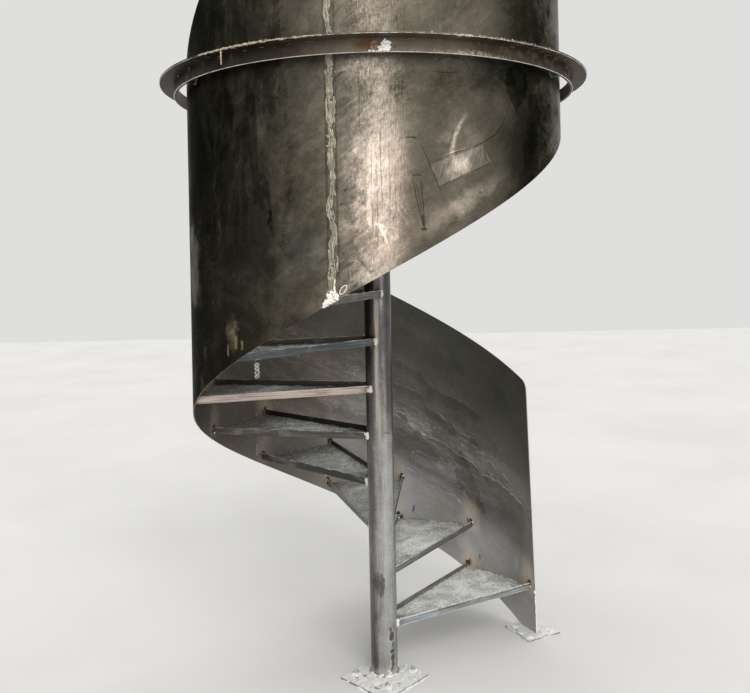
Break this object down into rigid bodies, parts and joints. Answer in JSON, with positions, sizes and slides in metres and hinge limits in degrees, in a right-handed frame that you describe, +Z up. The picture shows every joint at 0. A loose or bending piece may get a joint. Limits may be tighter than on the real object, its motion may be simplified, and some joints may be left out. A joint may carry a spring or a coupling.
{
  "type": "spiral staircase",
  "caption": "Anticlockwise spiral staircase of raw welded steel: centre pole, open pan treads, rolled sheet side wall, ceiling ring and top landing.",
  "frame": {"origin": "on the centre pole's axis, at the underside of its base plate, on the floor", "axes": "+Z up along the pole; +Y away from the picture's camera; the stair starts near +X and climbs anticlockwise seen from above"},
  "size_m": [1.7738, 1.7738, 3.7562],
  "materials": {
    "pole_steel": "raw blue-grey pipe with mill scale, scratches and weld burns",
    "floor_plate_steel": "raw plate smeared with cement",
    "wall_sheet_steel": "hot-rolled sheet with dark mill scale, soot and grinding marks",
    "ring_steel": "raw angle with light brown rust",
    "bar_steel": "raw angle bar, blue-grey to reddish, dusty",
    "pan_steel": "raw plate under grey dust"
  },
  "bodies": {
    "root": {"base_plate": "floor_plate_steel", "center_pole": "pole_steel", "foot_plate": "floor_plate_steel", "landing_bars": "bar_steel", "landing_lugs": "ring_steel", "landing_pan": "pan_steel", "landing_rim": "wall_sheet_steel", "pole_cap": "pole_steel", "ring_band": "ring_steel", "ring_flange": "ring_steel", "ring_spacers": "ring_steel", "tread_01_bars": "bar_steel", "tread_01_pan": "pan_steel", "tread_02_bars": "bar_steel", "tread_02_pan": "pan_steel", "tread_03_bars": "bar_steel", "tread_03_pan": "pan_steel", "tread_04_bars": "bar_steel", "tread_04_pan": "pan_steel", "tread_05_bars": "bar_steel", "tread_05_pan": "pan_steel", "tread_06_bars": "bar_steel", "tread_06_pan": "pan_steel", "tread_07_bars": "bar_steel", "tread_07_pan": "pan_steel", "tread_08_bars": "bar_steel", "tread_08_pan": "pan_steel", "tread_09_bars": "bar_steel", "tread_09_pan": "pan_steel", "tread_10_bars": "bar_steel", "tread_10_pan": "pan_steel", "tread_11_bars": "bar_steel", "tread_11_pan": "pan_steel", "tread_12_bars": "bar_steel", "tread_12_pan": "pan_steel", "wall_sheet_lower": "wall_sheet_steel", "wall_sheet_middle": "wall_sheet_steel", "wall_sheet_upper": "wall_sheet_steel"}
  },
  "joints": []
}
